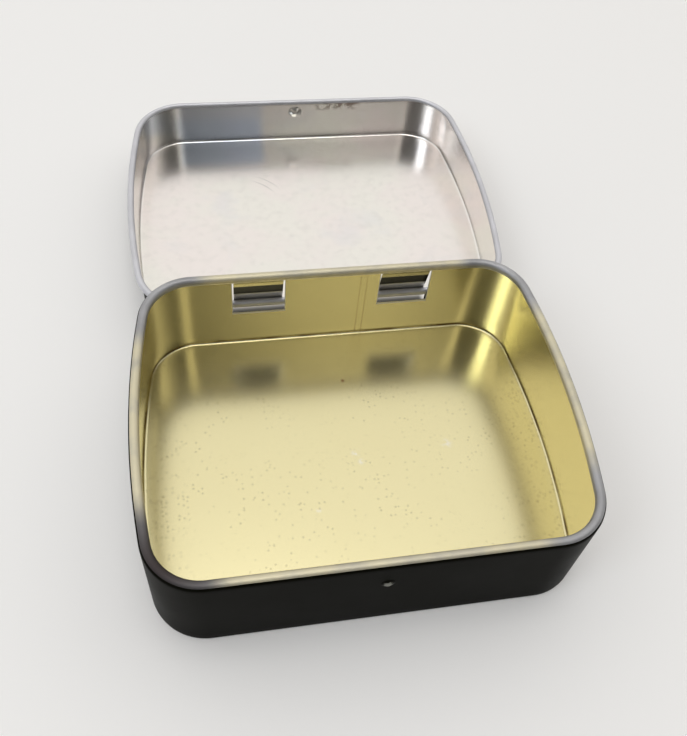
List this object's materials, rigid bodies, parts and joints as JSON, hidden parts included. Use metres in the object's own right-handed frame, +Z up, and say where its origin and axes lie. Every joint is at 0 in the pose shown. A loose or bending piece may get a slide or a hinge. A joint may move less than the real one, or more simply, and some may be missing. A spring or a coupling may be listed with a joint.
{
  "type": "hinged tin pencil case",
  "caption": "Small hinged pressed-tin case for pencil stubs, leads and other school bits; drawn tray and lid with rolled rims and a snap catch.",
  "frame": {"origin": "centre of the tray's underside", "axes": "+X along the long side, +Y from the front towards the hinge, +Z up; the lid is stored fully open behind the tray"},
  "size_m": [0.0988, 0.1545, 0.0263],
  "materials": {
    "tray_lacquered_tin": "tinplate with satin gold lacquer inside, black enamel outside and a bare silver rim",
    "lid_bare_tin": "bare satin tinplate inside and on the rolled rim, black enamel outside"
  },
  "bodies": {
    "tray": {"tray": "tray_lacquered_tin"},
    "lid": {"lid": "lid_bare_tin"}
  },
  "joints": [
    {"name": "lid_hinge", "type": "hinge", "parent": "tray", "child": "lid", "pos_m": [0, 0.03832, 0.0135], "axis": [1, 0, 0], "range_deg": [0, 180]}
  ]
}
